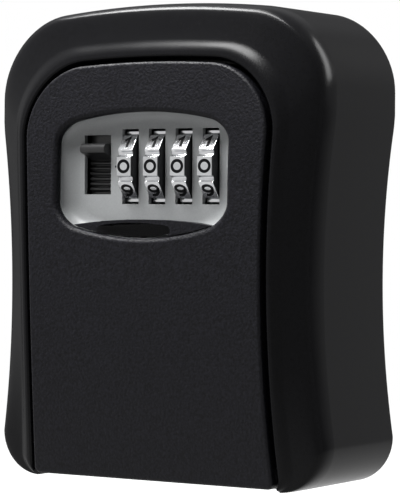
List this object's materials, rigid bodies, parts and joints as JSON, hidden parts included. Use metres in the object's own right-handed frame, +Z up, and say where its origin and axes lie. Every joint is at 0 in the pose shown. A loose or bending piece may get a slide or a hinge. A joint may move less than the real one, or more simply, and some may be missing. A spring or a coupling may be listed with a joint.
{
  "type": "key cabinet",
  "caption": "Small wall-mounted key cabinet: cast box with waisted outline, bottom-hinged door, push-down slider and number-wheel lock.",
  "frame": {"origin": "centre of the back face, on the wall, between the screw holes", "axes": "+X to the right seen from the front, -Y out of the wall towards the user, +Z up"},
  "size_m": [0.0962, 0.042, 0.119],
  "materials": {
    "casing_enamel": "satin black enamel",
    "door_powder_coat": "fine-grained black powder coat",
    "fascia_zinc": "satin grey lacquer on zinc",
    "polished_zinc": "polished",
    "black_plastic": "satin",
    "cast_zinc": "as cast",
    "bright_steel": "bright"
  },
  "bodies": {
    "case": {"casing": "casing_enamel", "hinge_pin": "bright_steel"},
    "door": {"door_panel": "door_powder_coat", "fascia": "fascia_zinc", "fascia_screw_1": "bright_steel", "fascia_screw_2": "bright_steel", "fascia_screw_3": "bright_steel", "fascia_screw_4": "bright_steel", "pull_lip": "door_powder_coat", "lock_frame": "cast_zinc", "detent_spring": "bright_steel", "detent_screw_1": "bright_steel", "detent_screw_2": "bright_steel", "lock_cover": "black_plastic", "cover_screw_1": "bright_steel", "cover_screw_2": "bright_steel", "cover_screw_3": "bright_steel", "cover_screw_4": "bright_steel", "latch_spring": "bright_steel"},
    "latch": {"latch_bar": "cast_zinc", "slider_button": "black_plastic", "slider_screw": "bright_steel"},
    "shifter": {"cam_shaft": "bright_steel", "shaft_clip": "bright_steel", "reset_lever": "bright_steel", "cam_spacer_1": "cast_zinc", "cam_spacer_2": "cast_zinc", "cam_spacer_3": "cast_zinc", "cam_spacer_4": "cast_zinc"},
    "wheel_1": {"dial_1": "polished_zinc"},
    "wheel_2": {"dial_2": "polished_zinc"},
    "wheel_3": {"dial_3": "polished_zinc"},
    "wheel_4": {"dial_4": "polished_zinc"},
    "sleeve_1": {"cam_1": "cast_zinc"},
    "sleeve_2": {"cam_2": "cast_zinc"},
    "sleeve_3": {"cam_3": "cast_zinc"},
    "sleeve_4": {"cam_4": "cast_zinc"}
  },
  "joints": [
    {"name": "door_hinge", "type": "hinge", "parent": "case", "child": "door", "pos_m": [0, -0.0322, -0.0553], "axis": [1, 0, 0], "range_deg": [0, 95]},
    {"name": "latch_slide", "type": "slide", "parent": "door", "child": "latch", "axis": [0, 0, -1], "range_m": [0, 0.005], "stiffness_N_per_m": 300, "springref_m": -0.004, "deforming": ["latch_spring"]},
    {"name": "reset_shift", "type": "slide", "parent": "door", "child": "shifter", "axis": [1, 0, 0], "range_m": [0, 0.00175]},
    {"name": "dial_1_turn", "type": "hinge", "parent": "door", "child": "wheel_1", "pos_m": [-0.00645, -0.0297, 0.019], "axis": [1, 0, 0], "continuous": true},
    {"name": "dial_2_turn", "type": "hinge", "parent": "door", "child": "wheel_2", "pos_m": [0.00143, -0.0297, 0.019], "axis": [1, 0, 0], "continuous": true},
    {"name": "dial_3_turn", "type": "hinge", "parent": "door", "child": "wheel_3", "pos_m": [0.00931, -0.0297, 0.019], "axis": [1, 0, 0], "continuous": true},
    {"name": "dial_4_turn", "type": "hinge", "parent": "door", "child": "wheel_4", "pos_m": [0.01719, -0.0297, 0.019], "axis": [1, 0, 0], "continuous": true},
    {"name": "cam_1_shift", "type": "slide", "parent": "wheel_1", "child": "sleeve_1", "axis": [1, 0, 0], "range_m": [0, 0.00175]},
    {"name": "cam_2_shift", "type": "slide", "parent": "wheel_2", "child": "sleeve_2", "axis": [1, 0, 0], "range_m": [0, 0.00175]},
    {"name": "cam_3_shift", "type": "slide", "parent": "wheel_3", "child": "sleeve_3", "axis": [1, 0, 0], "range_m": [0, 0.00175]},
    {"name": "cam_4_shift", "type": "slide", "parent": "wheel_4", "child": "sleeve_4", "axis": [1, 0, 0], "range_m": [0, 0.00175]}
  ],
  "couplings": [
    {"joint": "cam_1_shift", "follows": "reset_shift", "ratio": 1},
    {"joint": "cam_2_shift", "follows": "reset_shift", "ratio": 1},
    {"joint": "cam_3_shift", "follows": "reset_shift", "ratio": 1},
    {"joint": "cam_4_shift", "follows": "reset_shift", "ratio": 1}
  ]
}
